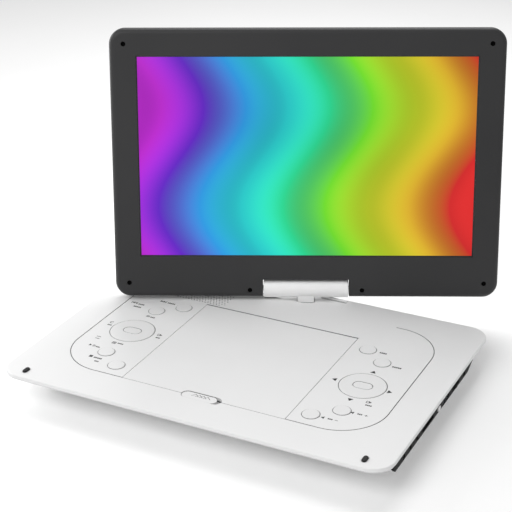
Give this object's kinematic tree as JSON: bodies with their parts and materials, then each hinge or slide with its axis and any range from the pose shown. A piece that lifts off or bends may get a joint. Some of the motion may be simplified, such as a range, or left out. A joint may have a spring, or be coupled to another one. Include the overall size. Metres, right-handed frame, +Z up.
{
  "type": "portable disc player",
  "caption": "Slim portable disc player with a top-loading bay and a wide screen on a tilting, swivelling hinge.",
  "frame": {"origin": "centre of the underside, on the plane that the rubber feet rest on", "axes": "+Z up; -Y towards the user at the front edge of the base; +X to the user's right, the side with the sockets"},
  "size_m": [0.3552, 0.3565, 0.2735],
  "materials": {
    "white_shell": "satin white moulding",
    "white_key": "satin white moulding",
    "white_tray": "fine matte white",
    "charcoal_bezel": "fine satin texture",
    "black_plastic": "matte",
    "black_screw": "black oxide",
    "rubber": "matte",
    "bright_steel": "bright plated",
    "steel_plate": "zinc plated sheet",
    "panel_frame": "moulded frame behind a thin metallic film",
    "battery_wrap": "shrink sleeve",
    "circuit_board": "solder resist",
    "ribbon_cable": "flat flexible cable",
    "lens": "coated lens",
    "display": "lit display behind a thin anti-glare face"
  },
  "bodies": {
    "base": {"base_deck": "white_shell", "base_pan": "white_shell", "port_panel": "black_plastic", "headphone_jack": "black_plastic", "av_jacks": "black_plastic", "usb_socket": "bright_steel", "card_slot": "bright_steel", "dc_socket": "black_plastic", "rubber_feet": "rubber", "deck_bumpers": "rubber", "speaker_driver": "black_plastic", "battery_pack": "battery_wrap", "main_board": "circuit_board", "key_boards": "circuit_board", "key_switches": "bright_steel", "disc_tray": "white_tray", "drive_chassis": "steel_plate", "guide_rods": "bright_steel", "spindle_motor": "bright_steel", "sled_motor": "bright_steel", "swivel_base": "steel_plate", "case_screws": "steel_plate", "power_switch": "steel_plate", "drive_ribbon": "ribbon_cable", "latch_spring": "bright_steel"},
    "door": {"disc_door": "white_shell", "door_hinge_pins": "bright_steel"},
    "latch": {"latch_slider": "white_shell"},
    "previous_key": {"previous_key": "white_key"},
    "next_key": {"next_key": "white_key"},
    "play_key": {"play_key": "white_key"},
    "stop_key": {"stop_key": "white_key"},
    "volume_up_key": {"volume_up_key": "white_key"},
    "volume_down_key": {"volume_down_key": "white_key"},
    "menu_key": {"menu_key": "white_key"},
    "source_key": {"source_key": "white_key"},
    "left_ring_key": {"left_ring_key": "white_key"},
    "right_ring_key": {"right_ring_key": "white_key"},
    "left_enter_key": {"left_enter_key": "white_key"},
    "right_enter_key": {"right_enter_key": "white_key"},
    "turntable": {"turntable": "black_plastic", "turntable_pad": "rubber", "hub_balls": "bright_steel"},
    "laser_sled": {"laser_sled": "black_plastic", "laser_lens": "lens"},
    "lead_screw": {"lead_screw": "bright_steel"},
    "swivel": {"swivel_neck": "white_shell", "hinge_barrel": "white_shell", "friction_washer": "bright_steel"},
    "lid": {"lid_bezel": "charcoal_bezel", "lid_back_cover": "white_shell", "display_glass": "display", "backlight_module": "panel_frame", "display_board": "circuit_board", "hinge_brackets": "steel_plate", "hinge_shafts": "bright_steel", "lid_screws": "black_screw"},
    "power_knob": {"power_knob": "white_shell"},
    "volume_wheel": {"volume_wheel": "black_plastic"}
  },
  "joints": [
    {"name": "lid_swivel", "type": "hinge", "parent": "base", "child": "swivel", "pos_m": [0, 0.114, 0.0285], "axis": [0, 0, 1], "range_deg": [-25.3, 154.7]},
    {"name": "lid_tilt", "type": "hinge", "parent": "swivel", "child": "lid", "pos_m": [0, 0.114, 0.0379], "axis": [-0.9041, -0.4274, 0], "range_deg": [-100.5, 20]},
    {"name": "door_hinge", "type": "hinge", "parent": "base", "child": "door", "pos_m": [0, 0.0595, 0.027], "axis": [-1, 0, 0], "range_deg": [0, 58]},
    {"name": "latch_slide", "type": "slide", "parent": "base", "child": "latch", "axis": [1, 0, 0], "range_m": [0, 0.004], "stiffness_N_per_m": 400, "springref_m": -0.001, "deforming": ["latch_spring"]},
    {"name": "previous_key_press", "type": "slide", "parent": "base", "child": "previous_key", "axis": [0, 0, -1], "range_m": [0, 0.0006], "stiffness_N_per_m": 900, "springref_m": -0.0003},
    {"name": "next_key_press", "type": "slide", "parent": "base", "child": "next_key", "axis": [0, 0, -1], "range_m": [0, 0.0006], "stiffness_N_per_m": 900, "springref_m": -0.0003},
    {"name": "play_key_press", "type": "slide", "parent": "base", "child": "play_key", "axis": [0, 0, -1], "range_m": [0, 0.0006], "stiffness_N_per_m": 900, "springref_m": -0.0003},
    {"name": "stop_key_press", "type": "slide", "parent": "base", "child": "stop_key", "axis": [0, 0, -1], "range_m": [0, 0.0006], "stiffness_N_per_m": 900, "springref_m": -0.0003},
    {"name": "volume_up_key_press", "type": "slide", "parent": "base", "child": "volume_up_key", "axis": [0, 0, -1], "range_m": [0, 0.0006], "stiffness_N_per_m": 900, "springref_m": -0.0003},
    {"name": "volume_down_key_press", "type": "slide", "parent": "base", "child": "volume_down_key", "axis": [0, 0, -1], "range_m": [0, 0.0006], "stiffness_N_per_m": 900, "springref_m": -0.0003},
    {"name": "menu_key_press", "type": "slide", "parent": "base", "child": "menu_key", "axis": [0, 0, -1], "range_m": [0, 0.0006], "stiffness_N_per_m": 900, "springref_m": -0.0003},
    {"name": "source_key_press", "type": "slide", "parent": "base", "child": "source_key", "axis": [0, 0, -1], "range_m": [0, 0.0006], "stiffness_N_per_m": 900, "springref_m": -0.0003},
    {"name": "left_ring_key_press", "type": "slide", "parent": "base", "child": "left_ring_key", "axis": [0, 0, -1], "range_m": [0, 0.0006], "stiffness_N_per_m": 900, "springref_m": -0.0003},
    {"name": "right_ring_key_press", "type": "slide", "parent": "base", "child": "right_ring_key", "axis": [0, 0, -1], "range_m": [0, 0.0006], "stiffness_N_per_m": 900, "springref_m": -0.0003},
    {"name": "left_enter_key_press", "type": "slide", "parent": "base", "child": "left_enter_key", "axis": [0, 0, -1], "range_m": [0, 0.0006], "stiffness_N_per_m": 900, "springref_m": -0.0003},
    {"name": "right_enter_key_press", "type": "slide", "parent": "base", "child": "right_enter_key", "axis": [0, 0, -1], "range_m": [0, 0.0006], "stiffness_N_per_m": 900, "springref_m": -0.0003},
    {"name": "turntable_spin", "type": "hinge", "parent": "base", "child": "turntable", "pos_m": [0, -0.0135, 0.0206], "axis": [0, 0, 1], "continuous": true},
    {"name": "sled_slide", "type": "slide", "parent": "base", "child": "laser_sled", "axis": [0, -1, 0], "range_m": [0, 0.032]},
    {"name": "lead_screw_turn", "type": "hinge", "parent": "base", "child": "lead_screw", "pos_m": [0.03, -0.0585, 0.015], "axis": [0, -1, 0], "range_deg": [0, 3840]},
    {"name": "power_knob_slide", "type": "slide", "parent": "base", "child": "power_knob", "axis": [0, 1, 0], "range_m": [0, 0.003]},
    {"name": "volume_turn", "type": "hinge", "parent": "base", "child": "volume_wheel", "pos_m": [0.1688, 0.03, 0.0223], "axis": [0, 0, 1], "range_deg": [0, 270]}
  ],
  "couplings": [
    {"joint": "lead_screw_turn", "follows": "sled_slide", "rad_per_m": 2094.4}
  ]
}
